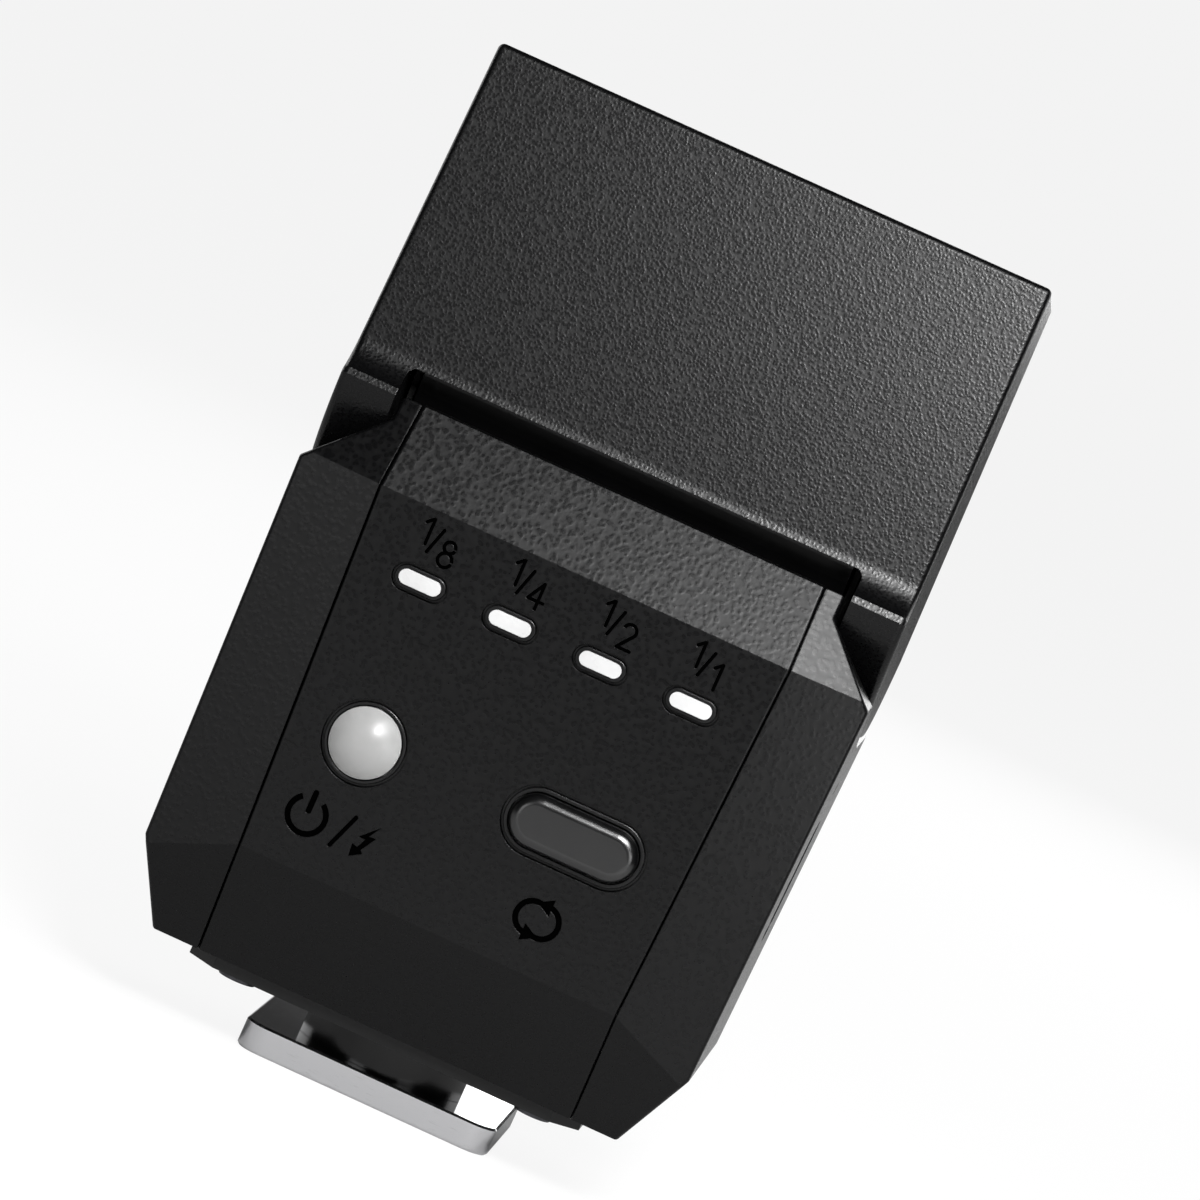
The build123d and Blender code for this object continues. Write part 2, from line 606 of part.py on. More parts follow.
def hinge_pin(hand):
    """A steel pin with a flat head, pushed in from inside the drum into the head's ear."""
    x_in, x_out = DRUM_HALF_W - 3.4, EAR_INNER_X + PIN_BITE
    pin = disc_x(PIN_R, HINGE_Y, HINGE_Z, x_in, x_out) + disc_x(2.4, HINGE_Y, HINGE_Z, x_in - 0.7, x_in)
    return pin if hand > 0 else mirror(pin, about=Plane.YZ)


def friction_washers():
    """Two thin rings that give the head its drag."""
    ring = disc_x(3.2, HINGE_Y, HINGE_Z, DRUM_HALF_W - 0.15, DRUM_HALF_W + 0.35)
    return mirrored(ring - disc_x(PIN_R + 0.05, HINGE_Y, HINGE_Z, DRUM_HALF_W - 1, DRUM_HALF_W + 1))


# ---------------------------------------------------------------- head
def head_profile():
    """The head seen from the side, with round ears below and a rolled edge above each ear's hump."""
    start, end = 198.5, 320.0
    hump = hinge_point(EAR_R, start)
    front_low = hinge_point(EAR_R, end)
    arc = ThreePointArc((0, *hump), (0, *hinge_point(EAR_R, (start + end) / 2)), (0, *front_low))
    roll_top = (REAR_LOW[0] + 0.35, REAR_LOW[1] + 0.9)
    crest = (hump[0] + 0.15, hump[1] + 0.45)
    valley = ThreePointArc((0, *crest), (0, crest[0] + 1.1, crest[1] + 1.0), (0, *roll_top))
    lines = [arc, Line((0, *front_low), (0, *FRONT_TOP)), Line((0, *FRONT_TOP), (0, *REAR_TOP)),
             Line((0, *REAR_TOP), (0, *roll_top)), valley, Line((0, *crest), (0, *hump))]
    return make_face(Wire(lines))


def head_block():
    """The head's outer form, slightly narrower at the top."""
    wide = HEAD_HALF_W + 1
    block = Pos(-wide, 0, 0) * extrude(head_profile(), amount=2 * wide, dir=(1, 0, 0))
    low, top = HINGE_Z - EAR_R - 1, REAR_TOP[1] + 1
    outline = [(HEAD_HALF_W, low), (HEAD_TOP_HALF_W, top), (-HEAD_TOP_HALF_W, top), (-HEAD_HALF_W, low)]
    return block & rear_prism(outline, -20, 20)


def head_shell():
    """Rear wall, top, sides and ears of the head in one moulding."""
    block = head_block()
    block = fillet(outer_head_edges(block), HEAD_EDGE_R)
    # the cut-out that clears the neck, with rounded upper corners
    gap = EAR_INNER_X
    slot = box(-gap, gap, -20, HINGE_Y, 20, CUTOUT_Z)
    slot = fillet(slot.edges().filter_by(Axis.Y).group_by(Axis.Z)[-1], 0.6)
    block -= slot
    block -= box(-gap, gap, HINGE_Y - 1, 20, 20, 40.2)
    # inside
    rear_in = (REAR_TOP[0] + HEAD_WALL, REAR_TOP[1] - HEAD_WALL - 0.2)
    roof_z = FRONT_TOP[1] - HEAD_WALL - 0.2
    back = [(REAR_LOW[0] + 1.2, CUTOUT_Z - 8), (REAR_LOW[0] + 1.2, CUTOUT_Z), rear_in,
            (FRONT_TOP[0] - HEAD_WALL, roof_z), (20, roof_z), (20, 30), (HINGE_Y - 5, 30)]
    block -= side_prism(back, -gap, gap)
    upper = [(REAR_LOW[0] + 2.0, EAR_ROOF_Z), rear_in, (20, roof_z), (20, EAR_ROOF_Z)]
    block -= side_prism(upper, -HEAD_TOP_HALF_W + HEAD_WALL, HEAD_TOP_HALF_W - HEAD_WALL)
    side = LENS_W / 2 + 1.2
    block -= box(-side, side, HINGE_Y + PIN_R + 1.7, 20, LENS_Z - LENS_H / 2 - 1, 60)
    block -= front_slab(BEZEL_T + TINY, BEZEL_GAP)
    block -= mirrored(disc_x(PIN_R, HINGE_Y, HINGE_Z, EAR_INNER_X - 1, EAR_INNER_X + PIN_BITE))
    for x, z in HEAD_SCREWS:
        block += boss_y(x, z)
    for x, z in HEAD_SCREWS:
        block -= disc_y(0.6, x, z, front_y(z) - 6.5, front_y(z) + 2)
    return block


def boss_y(x, z):
    """A post for one bezel screw."""
    return disc_y(BOSS_R, x, z, front_y(z) - 6, front_y(z + BOSS_R) - BEZEL_T - TINY * 2)


def outer_head_edges(block):
    """The edges around the rear wall, the top and the two sides."""
    chosen = []
    for edge in block.edges():
        middle = edge @ 0.5
        if abs(middle.X) > HEAD_TOP_HALF_W - 0.5 or middle.Z > FRONT_TOP[1] - 0.2:
            chosen.append(edge)
    return chosen


def front_y(z):
    """Where the head's front surface lies at a height."""
    low = hinge_point(EAR_R, 320.0)
    return low[0] + (FRONT_TOP[0] - low[0]) * (z - low[1]) / (FRONT_TOP[1] - low[1])


def front_slab(depth, grow):
    """A slab along the head's front surface; where it cuts, it is grown and stands proud."""
    z0, z1 = BEZEL_Z[0] - grow, BEZEL_Z[1] + grow
    proud = 5 if grow else 0
    side = [(front_y(z0) + proud, z0), (front_y(z1) + proud, z1), (front_y(z1) - depth, z1),
            (front_y(z0) - depth, z0)]
    half = HEAD_TOP_HALF_W - BEZEL_RIM + grow
    return side_prism(side, -half, half)


def head_front_bezel():
    """The front frame of the head, around the flash window."""
    window = box(-LENS_W / 2, LENS_W / 2, 0, 20, LENS_Z - LENS_H / 2, LENS_Z + LENS_H / 2)
    frame = front_slab(BEZEL_T, 0) - fillet(window.edges().filter_by(Axis.Y), 1.5)
    for x, z in HEAD_SCREWS:
        frame -= disc_y(0.72, x, z, 0, 20)
        frame -= disc_y(1.3, x, z, front_y(z) - 0.75, 20)
    return frame


def flash_lens():
    """The clear window over the flash tube, flush in the bezel, with a flange behind."""
    w, h = LENS_W / 2 - 0.1, LENS_H / 2 - 0.1
    block = box(-w, w, 0, 20, LENS_Z - h, LENS_Z + h)
    block = fillet(block.edges().filter_by(Axis.Y), 1.4)
    z0, z1 = LENS_Z - h - OVER, LENS_Z + h + OVER
    face = [(front_y(z0) - WINDOW_SINK, z0), (front_y(z1) - WINDOW_SINK, z1)]
    back = [(y - LENS_T, z) for y, z in reversed(face)]
    return (block & side_prism(face + back, -w, w)) + behind_window(LENS_T, LENS_FLANGE_T)


def behind_window(start, thickness):
    """A flat plate behind the window, a little larger than it, that leans with the head's front."""
    w, h = LENS_W / 2 + 0.7, LENS_H / 2 + 0.5
    z0, z1 = LENS_Z - h, LENS_Z + h
    sunk = WINDOW_SINK + start
    face = [(front_y(z0) - sunk, z0), (front_y(z1) - sunk, z1)]
    back = [(y - thickness, z) for y, z in reversed(face)]
    return side_prism(face + back, -w, w)


def fresnel_sheet():
    """The ribbed sheet that spreads the light, behind the clear window."""
    return behind_window(LENS_T + LENS_FLANGE_T + TINY, SHEET_T)


def reflector():
    """The bright trough behind the tube."""
    mouth_y = front_y(LENS_Z + TROUGH_HALF_H) - LENS_T - LENS_FLANGE_T - SHEET_T - 0.35
    body = side_prism(trough_points(mouth_y, 0.0), -TROUGH_HALF_W, TROUGH_HALF_W)
    inner_w = TROUGH_HALF_W - TROUGH_WALL
    body -= side_prism(trough_points(mouth_y, TROUGH_WALL), -inner_w, inner_w)
    return body - disc_x(TUBE_R + 0.45, TUBE_Y, LENS_Z, -TROUGH_HALF_W - OVER, TROUGH_HALF_W + OVER)


def trough_points(mouth_y, wall):
    """The side profile of the reflector: a parabola, drawn in by a wall."""
    steps = 8
    deep = TROUGH_DEEP - wall
    points = []
    for i in range(-steps, steps + 1):
        share = i / steps
        points.append((mouth_y - deep * (1 - share ** 2), LENS_Z + (TROUGH_HALF_H - wall) * share))
    if wall:
        high = TROUGH_HALF_H - wall
        points += [(mouth_y + OVER, LENS_Z + high), (mouth_y + OVER, LENS_Z - high)]
    return points


def xenon_tube():
    """The glass flash tube."""
    return disc_x(TUBE_R, TUBE_Y, LENS_Z, -TUBE_HALF, TUBE_HALF)


def tube_sleeves():
    """Two silicone caps that hold the tube's ends."""
    cap = disc_x(TUBE_R + 0.7, TUBE_Y, LENS_Z, 13.15, 16.2) - disc_x(TUBE_R, TUBE_Y, LENS_Z, 13.0, TUBE_HALF)
    return mirrored(cap)


# ---------------------------------------------------------------- controls
def sunk_ring(outer, inner, x, z):
    """A rim with a groove around it: round-ended, sunk a little below the panel's face."""
    back = BODY_REAR_Y + PANEL_T
    face = BODY_REAR_Y + RING_SINK
    crest = oblong_y(outer[0] - 2 * RING_GROOVE, outer[1] - 2 * RING_GROOVE, x, z, face, back)
    crest = chamfer(crest.faces().sort_by(Axis.Y)[0].edges(), 0.05)
    base = oblong_y(outer[0] - 2 * TINY, outer[1] - 2 * TINY, x, z, face + 0.35, back)
    return crest + base - oblong_y(inner[0], inner[1], x, z, face - 1, back + 1)


def led_bezels():
    """Four dark rims around the power windows."""
    inner = (LED_WINDOW[0] + TINY, LED_WINDOW[1] + TINY)
    return join([sunk_ring(LED_RING, inner, x, LED_Z) for x in LED_X])


def led_light_pipes():
    """Four milky windows, each with a leg that reaches back to its lamp."""
    pipes = []
    for x in LED_X:
        pipes.append(oblong_y(*LED_WINDOW, x, LED_Z, BODY_REAR_Y - 0.05, BOARD_Y - 1.2))
    return join(pipes)


def indicator_lamps():
    """Four small lamps on the board, behind the windows."""
    return join([box(x - 0.8, x + 0.8, BOARD_Y - 1.1, BOARD_Y, LED_Z - 0.4, LED_Z + 0.4) for x in LED_X])


def button_rings():
    """The dark rims around the two buttons."""
    round_inner = POWER_D + 2 * BUTTON_FIT
    mode_inner = (MODE_SIZE[0] + 2 * BUTTON_FIT, MODE_SIZE[1] + 2 * BUTTON_FIT)
    nearly_round = (POWER_RING_D + TINY / 2, POWER_RING_D)
    power_rim = sunk_ring(nearly_round, (round_inner + TINY / 2, round_inner), POWER_X, BUTTON_Z)
    return power_rim + sunk_ring(MODE_RING, mode_inner, MODE_X, BUTTON_Z)


def power_button():
    """The round white button with a domed face and a flange that keeps it in."""
    r = POWER_D / 2
    dome_r = (r * r + POWER_DOME ** 2) / (2 * POWER_DOME)
    top = BODY_REAR_Y - POWER_DOME
    stem = disc_y(r, POWER_X, BUTTON_Z, top, BODY_REAR_Y + PANEL_T + 0.3)
    ball = Pos(POWER_X, top + dome_r, BUTTON_Z) * Sphere(dome_r)
    stem &= ball + disc_y(r, POWER_X, BUTTON_Z, BODY_REAR_Y, 0)
    flange = disc_y(r + 0.45, POWER_X, BUTTON_Z, *FLANGE_Y)
    return stem + flange + disc_y(PLUNGER_R, POWER_X, BUTTON_Z, *PLUNGER_Y)


def mode_button():
    """The long black button with a crowned face."""
    w, h = MODE_SIZE
    stem = oblong_y(w, h, MODE_X, BUTTON_Z, BODY_REAR_Y - MODE_DOME, BODY_REAR_Y + PANEL_T + 0.3)
    stem = fillet(stem.faces().sort_by(Axis.Y)[0].edges(), MODE_DOME * 0.9)
    flange = oblong_y(w + 0.9, h + 0.9, MODE_X, BUTTON_Z, *FLANGE_Y)
    return stem + flange + disc_y(PLUNGER_R, MODE_X, BUTTON_Z, *PLUNGER_Y)


def control_board():
    """The main circuit board behind the panel."""
    half = BOARD_W / 2
    board = box(-half, half, BOARD_Y, BOARD_Y + BOARD_T, *BOARD_Z)
    for x, z in BOARD_SCREWS:
        board -= disc_y(0.75, x, z, BOARD_Y - 1, BOARD_Y + BOARD_T + 1)
    return board


def tact_switches():
    """Two low push switches: a square can and a round plunger each."""
    cans = []
    for x in (POWER_X, MODE_X):
        can = box(x - 1.9, x + 1.9, BOARD_Y - 1.0, BOARD_Y, BUTTON_Z - 1.9, BUTTON_Z + 1.9)
        cans.append(can + disc_y(1.0, x, BUTTON_Z, SWITCH_FACE_Y + BUTTON_TRAVEL, BOARD_Y - 1.0 + TINY))
    return join(cans)


def usb_shape(half, r, x0, x1):
    """A round-ended bar along X, upright in the side wall."""
    bar = box(x0, x1, USB_Y - r, USB_Y + r, USB_Z - half + r, USB_Z + half - r)
    return bar + disc_x(r, USB_Y, USB_Z - half + r, x0, x1) + disc_x(r, USB_Y, USB_Z + half - r, x0, x1)


def usb_socket():
    """The metal can of the charging socket, open to the right."""
    can = usb_shape(4.5, 1.6, USB_FACE_X - 7.3, USB_FACE_X)
    return can - usb_shape(4.2, 1.3, USB_FACE_X - 6.3, USB_FACE_X + OVER)


def usb_tongue():
    """The thin insulated tongue inside the can."""
    return box(USB_FACE_X - 6.28, USB_FACE_X - 0.65, USB_Y - 0.35, USB_Y + 0.35, USB_Z - 3.3, USB_Z + 3.3)


def side_light_pipe():
    """The pin-sized charge light in the right side wall."""
    return disc_x(0.48, USB_Y, SIDE_LED_Z, 17.9, 20.45)


def battery_cell():
    """The flat rechargeable cell behind the front wall."""
    cell = box(-16.5, 11.5, 2.2, 7.2, 9.0, 32.5)
    return fillet(cell.edges().filter_by(Axis.Z), 1.2)


def battery_pad():
    """A thin foam pad between the cell and the front wall."""
    return box(-14.5, 9.5, 7.22, 7.58, 11.0, 30.5)


def flash_capacitor():
    """The store that fires the tube, lying across the body."""
    can = disc_x(3.9, -5.2, 12.0, -13.5, 9.0)
    return fillet(can.edges(), 0.5)


def step_up_transformer():
    """A wound core that charges the capacitor."""
    core = box(-9.8, -3.3, BOARD_Y + BOARD_T, -3.0, 26.5, 33.5)
    return fillet(core.edges().filter_by(Axis.Y), 0.6)


def trigger_coil():
    """The small coil that starts each flash."""
    return disc_z(2.2, 2.5, -7.5, 24.0, 32.0)


def power_transistor():
    """The switch that sets how long the tube burns."""
    return box(5.3, 9.9, BOARD_Y + BOARD_T, -7.9, 28.5, 35.0)


def lead(x, z0, y0):
    """One insulated lead from the board up through the deck to the drum."""
    path = FilletPolyline((x, y0, z0), (x, LEAD_Y, z0), (x, LEAD_Y, DECK_Z + 4.5), radius=2.5)
    return sweep(Plane(origin=path @ 0, z_dir=path % 0) * Circle(LEAD_R), path=path)


def body_leads():
    """Three insulated leads that run up to the head."""
    return join([lead(x, 22.5, BOARD_Y + BOARD_T) for x in (-2.2, -0.6, 1.0)])


def trigger_wire():
    """The bare wire from the reflector's back to the head's lead block."""
    return box(-0.25, 0.25, TUBE_Y - 5.2, TUBE_Y - 4.0, LENS_Z - 0.25, LENS_Z + 0.25)


def head_terminal_board():
    """The small board in the head where the leads end."""
    return box(-7.0, 7.0, -7.9, -7.1, 59.5, 66.0)


NODES = {
    "foot_plate": foot_plate,
    "foot_stem": foot_stem,
    "contact_insulator": contact_insulator,
    "centre_contact_pin": centre_contact_pin,
    "contact_spring": contact_spring,
    "contact_terminal": contact_terminal,
    "foot_screws": foot_screws,
    "base_plate": base_plate,
    "base_screws": base_screws,
    "main_housing": main_housing,
    "rear_panel": rear_panel,
    "hinge_cradle": hinge_cradle,
    "cradle_screws": cradle_screws,
    "hinge_pin_left": lambda: hinge_pin(-1),
    "hinge_pin_right": lambda: hinge_pin(1),
    "friction_washers": friction_washers,
    "led_bezels": led_bezels,
    "led_light_pipes": led_light_pipes,
    "indicator_lamps": indicator_lamps,
    "button_rings": button_rings,
    "power_button": power_button,
    "mode_button": mode_button,
    "tact_switches": tact_switches,
    "control_board": control_board,
    "board_screws": board_screws,
    "usb_socket": usb_socket,
    "usb_tongue": usb_tongue,
    "side_light_pipe": side_light_pipe,
    "battery_cell": battery_cell,
    "battery_pad": battery_pad,
    "flash_capacitor": flash_capacitor,
    "step_up_transformer": step_up_transformer,
    "trigger_coil": trigger_coil,
    "power_transistor": power_transistor,
    "body_leads": body_leads,
    "head_shell": head_shell,
    "head_front_bezel": head_front_bezel,
    "head_screws": head_screws,
    "flash_lens": flash_lens,
    "fresnel_sheet": fresnel_sheet,
    "reflector": reflector,
    "xenon_tube": xenon_tube,
    "tube_sleeves": tube_sleeves,
    "trigger_wire": trigger_wire,
    "head_terminal_board": head_terminal_board,
}

for name, make in NODES.items():
    save(make(), name)
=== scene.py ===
import math

import bmesh
import bpy
from bpy.props import FloatProperty, FloatVectorProperty, IntProperty, PointerProperty
from mathutils import Matrix, Vector


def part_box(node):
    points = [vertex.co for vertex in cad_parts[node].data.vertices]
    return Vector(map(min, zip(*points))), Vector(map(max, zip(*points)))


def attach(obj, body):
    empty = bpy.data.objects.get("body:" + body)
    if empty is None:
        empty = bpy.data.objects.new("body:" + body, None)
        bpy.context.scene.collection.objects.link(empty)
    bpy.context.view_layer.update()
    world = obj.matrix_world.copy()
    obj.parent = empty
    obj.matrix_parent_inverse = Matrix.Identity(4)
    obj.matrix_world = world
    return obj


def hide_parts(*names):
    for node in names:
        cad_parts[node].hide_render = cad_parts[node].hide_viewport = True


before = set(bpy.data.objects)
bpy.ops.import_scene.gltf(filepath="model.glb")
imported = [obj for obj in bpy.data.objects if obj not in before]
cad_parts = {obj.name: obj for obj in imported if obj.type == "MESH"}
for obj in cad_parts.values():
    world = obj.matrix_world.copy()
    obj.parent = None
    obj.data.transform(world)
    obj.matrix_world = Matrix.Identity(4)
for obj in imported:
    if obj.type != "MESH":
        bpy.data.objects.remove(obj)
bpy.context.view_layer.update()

bl_info = {
    "name": "Compact hot-shoe flash",
    "version": (1, 0, 0),
    "blender": (4, 5, 0),
    "location": "3D View > Sidebar > Flash",
    "description": "Gives a small camera flash its finishes, its small parts and a studio",
    "category": "Object",
}

MM = 0.001
FULL_TURN = 2 * math.pi
MERGE_DISTANCE = 0.001 * MM
BLACK = (0.0, 0.0, 0.0, 1.0)
WHITE = (1.0, 1.0, 1.0, 1.0)

# shading: how far sharp edges look rounded, and the usual unevenness of smooth plastic
EDGE_SOFTNESS = 0.07 * MM
EDGE_SAMPLES = 4
SMOOTH_DEPTH = 0.004 * MM
BUTTON_DEPTH = 0.002 * MM
SHELL_ROUGHNESS = 0.26
CLEAR_IOR = 1.49

# the panel's marks: the heights between which they lie, how deep a sunk floor starts, its look
MARK_BAND = (14.0 * MM, 39.0 * MM)
MARK_BAND_EDGE = 0.1 * MM
MARK_SINK = (0.05 * MM, 0.07 * MM)
MARK_BLACK = (0.0004, 0.0004, 0.0004, 1.0)
MARK_ROUGHNESS = 0.5

# each light's place, the point that it faces (None: the camera's aim), its width, its power setting
LIGHTS = {
    "key_light": ((0.061, -0.15, 0.163), None, 0.1, "key_power"),
    "head_light": ((0.055, -0.26, 0.185), None, 0.06, "head_power"),
    "floor_light": ((0.05, -0.07, 0.03), (0.03, -0.05, 0.0), 0.03, "pool_power"),
    "side_light": ((-0.148, -0.317, 0.057), None, 0.12, "side_power"),
    "window_light": ((0.09, 0.34, 0.17), None, 0.25, "far_power"),
    "socket_light": ((0.33, 0.2, 0.15), None, 0.25, "far_power"),
    "plain_side_light": ((-0.33, 0.2, 0.15), None, 0.25, "far_power"),
}
SENSOR_WIDTH = 36.0
NEAR_CLIP = 0.01
FLOOR_SIZE = 40.0
FLOOR_ROUGHNESS = 0.9
FLOOR_GLOW = 1.05
FLOOR_GLOW_SHARE = 0.85

TINTS = {
    "foot_chrome": (0.46, 0.46, 0.47),
    "contact_brass": (0.78, 0.6, 0.3),
    "contact_gilt": (0.85, 0.62, 0.28),
    "bright_steel": (0.6, 0.6, 0.6),
    "dark_screw": (0.06, 0.06, 0.065),
    "mirror_sheet": (0.86, 0.86, 0.87),
    "electrode_nickel": (0.55, 0.52, 0.48),
    "coil_copper": (0.75, 0.32, 0.14),
    "cell_pouch": (0.5, 0.5, 0.52),
    "black_insulator": (0.01, 0.01, 0.01),
    "washer_nylon": (0.55, 0.55, 0.52),
    "board_mask": (0.01, 0.09, 0.035),
    "soft_rubber": (0.05, 0.05, 0.05),
    "capacitor_sleeve": (0.012, 0.012, 0.02),
    "lead_red": (0.4, 0.02, 0.015),
    "lamp_body": (0.6, 0.58, 0.5),
    # painted shade: near-black colour of the rings that block light through the gaps beside the hinge
    # drum
    "seal_felt": (0.004, 0.004, 0.004),
    "window_clear": (0.95, 0.96, 0.97),
    "tube_glass": (0.95, 0.96, 0.97),
    "ribbed_clear": (0.93, 0.94, 0.95),
}

# the electrode's outline: radius as a share of the tube's, and the distance outwards in ELECTRODE_UNIT
ELECTRODE_PROFILE = ((0.0, 0.0), (0.42, 0.0), (0.5, 0.06), (0.5, 1.3), (0.42, 1.4), (0.24, 1.45),
                     (0.2, 1.6), (0.2, 2.6), (0.0, 2.6))
ELECTRODE_UNIT = 1.5 * MM
ELECTRODE_INSET = 4.2 * MM


# ---------------------------------------------------------------- settings
class StageSettings(bpy.types.PropertyGroup):
    """The camera, the floor and the lights."""

    azimuth: FloatProperty(name="Azimuth", description="Turn of the camera round the flash",
                           default=math.radians(3.5), subtype="ANGLE")
    elevation: FloatProperty(name="Elevation", description="Height of the camera above level",
                             default=math.radians(5.5), subtype="ANGLE")
    roll: FloatProperty(name="Roll", description="Clockwise lean of the flash in the view",
                        default=math.radians(24.1), subtype="ANGLE")
    distance: FloatProperty(name="Distance", description="From the camera to its aim point",
                            default=0.6, unit="LENGTH")
    aim: FloatVectorProperty(name="Aim", description="The point that the camera looks at",
                             default=(0.00053, 0.0, 0.03695), subtype="TRANSLATION", unit="LENGTH")
    lens: FloatProperty(name="Focal length", description="Focal length of the lens in millimetres",
                        default=263.9)
    floor_colour: FloatVectorProperty(name="Floor", description="Colour of the floor",
                                      default=(0.42, 0.42, 0.42), subtype="COLOR")
    world_level: FloatProperty(name="Room light", description="Brightness of the white room",
                               default=0.045)
    key_power: FloatProperty(name="Key light", description="Power of the light above on the right",
                             default=0.68, unit="POWER")
    head_power: FloatProperty(name="Head light", description="Power of the light that the head mirrors",
                              default=1.4, unit="POWER")
    far_power: FloatProperty(name="Far lights", description="Power of each light beyond the flash",
                             default=0.7, unit="POWER")
    pool_power: FloatProperty(name="Floor light", description="Power of the pool of light on the floor",
                              default=0.015, unit="POWER")
    side_power: FloatProperty(name="Side light", description="Power of the weak light on the left",
                              default=0.15, unit="POWER")


class FinishSettings(bpy.types.PropertyGroup):
    """Colours and grain of the surfaces."""

    shell_colour: FloatVectorProperty(name="Shell", description="Colour of the grained black shell",
                                      default=(0.0008, 0.0008, 0.0009), subtype="COLOR")
    trim_colour: FloatVectorProperty(name="Trim", description="Colour of the smooth black plastic",
                                     default=(0.0008, 0.0008, 0.0009), subtype="COLOR")
    white_colour: FloatVectorProperty(name="White button", description="Colour of the white plastic",
                                      default=(0.19, 0.19, 0.188), subtype="COLOR")
    window_colour: FloatVectorProperty(name="Power windows", description="Colour of the milky windows",
                                       default=(0.3, 0.3, 0.3), subtype="COLOR")
    head_grain: FloatProperty(name="Head grain", description="Pitch of the fine grain on the head",
                              default=0.22 * MM, unit="LENGTH")
    body_grain: FloatProperty(name="Body grain", description="Pitch of the leather grain on the body",
                              default=0.38 * MM, unit="LENGTH")
    grain_depth: FloatProperty(name="Grain depth", description="Depth of the moulded grain",
                               default=0.011 * MM, unit="LENGTH")


class PieceSettings(bpy.types.PropertyGroup):
    """Sizes of the small added pieces."""

    rib_count: IntProperty(name="Ribs", description="Upright ribs on the diffusing sheet", default=48)
    rib_depth: FloatProperty(name="Rib depth", description="Depth of each rib",
                             default=0.16 * MM, unit="LENGTH")
    # the rings beside the hinge drum are painted shade: black rings that block light through a gap, not
    # felt seals
    shade_ring_radius: FloatProperty(name="Seal radius", description="Outer radius of each hinge seal",
                               default=9.0 * MM, unit="LENGTH")
    shade_ring_thickness: FloatProperty(name="Seal thickness", description="Thickness of each hinge seal",
                                  default=0.4 * MM, unit="LENGTH")
    contact_count: IntProperty(name="Contacts", description="Contacts on each side of the tongue",
                               default=10)
    contact_length: FloatProperty(name="Contact length", description="Length of each gilt contact",
                                  default=2.2 * MM, unit="LENGTH")
    contact_thickness: FloatProperty(name="Contact thickness", description="Thickness of each contact",
                                     default=0.04 * MM, unit="LENGTH")


# ---------------------------------------------------------------- node helpers
def add_node(tree, kind, inputs=None, **attributes):
    """Adds a shader node; inputs maps a socket's name or index to a value or to another socket."""
    made = tree.nodes.new(kind)
    for key, value in attributes.items():
        setattr(made, key, value)
    for key, value in (inputs or {}).items():
        if isinstance(value, bpy.types.NodeSocket):
            tree.links.new(value, made.inputs[key])
        else:
            made.inputs[key].default_value = value
    return made


def math_node(tree, operation, first, second, third=0.0):
    """The result of a Math node."""
    return add_node(tree, "ShaderNodeMath", {0: first, 1: second, 2: third},
                    operation=operation).outputs[0]


def remap(tree, value, old_low, old_high, new_low, new_high, smooth=False):
    """The result of a Map Range node."""
    inputs = {"Value": value, "From Min": old_low, "From Max": old_high,
              "To Min": new_low, "To Max": new_high}
    kind = "SMOOTHSTEP" if smooth else "LINEAR"
    return add_node(tree, "ShaderNodeMapRange", inputs, interpolation_type=kind).outputs["Result"]


def mix_colour(tree, factor, first, second):
    """The result of mixing two colours."""
    return add_node(tree, "ShaderNodeMix", {0: factor, 6: first, 7: second},
                    data_type="RGBA").outputs[2]


def rgba(colour, gain=1.0):
    """A colour with full alpha, made lighter or darker by gain."""
    return (colour[0] * gain, colour[1] * gain, colour[2] * gain, 1.0)


def object_point(tree):
    """Where a point of the piece lies, in metres."""
    return add_node(tree, "ShaderNodeTexCoord").outputs["Object"]


def scaled_point(tree, pitch):
    """Object coordinates counted in pitches."""
    count = math_node(tree, "DIVIDE", 1.0, pitch)
    return add_node(tree, "ShaderNodeVectorMath", {0: object_point(tree), "Scale": count},
                    operation="SCALE").outputs[0]


def new_group(name, inputs, outputs):
    """An empty shader node group with float inputs (name, default) and float outputs."""
    group = bpy.data.node_groups.new(name, "ShaderNodeTree")
    for label, default in inputs:
        socket = group.interface.new_socket(label, in_out="INPUT", socket_type="NodeSocketFloat")
        socket.default_value = default
    for label in outputs:
        group.interface.new_socket(label, in_out="OUTPUT", socket_type="NodeSocketFloat")
    source = group.nodes.new("NodeGroupInput")
    sink = group.nodes.new("NodeGroupOutput")
    return group, source, sink


def grain_group():
    """Moulded leather grain: rounded crowns with creases between, and fine pits all over."""
    group, source, sink = new_group("moulded_grain", [("Pitch", 0.3 * MM), ("Crowns", 0.6)],
                                    ["Height", "Crown"])
    point = scaled_point(group, source.outputs["Pitch"])
    warp = add_node(group, "ShaderNodeTexNoise", {"Vector": point, "Scale": 0.6, "Detail": 1.0})
    moved = add_node(group, "ShaderNodeVectorMath",
                     {0: warp.outputs["Color"], 1: (0.7, 0.7, 0.7), 2: point},
                     operation="MULTIPLY_ADD").outputs[0]
    cells = add_node(group, "ShaderNodeTexVoronoi", {"Vector": moved, "Scale": 1.0, "Smoothness": 0.7},
                     feature="SMOOTH_F1").outputs["Distance"]
    crown = remap(group, cells, 0.15, 0.75, 1.0, 0.0, smooth=True)
    pits = add_node(group, "ShaderNodeTexNoise", {"Vector": point, "Scale": 1.7, "Detail": 1.5})
    pit_share = math_node(group, "SUBTRACT", 1.0, source.outputs["Crowns"])
    crown_height = math_node(group, "MULTIPLY", crown, source.outputs["Crowns"])
    height = math_node(group, "MULTIPLY_ADD", pits.outputs[0], pit_share, crown_height)
    group.links.new(height, sink.inputs["Height"])
    group.links.new(crown, sink.inputs["Crown"])
    return group


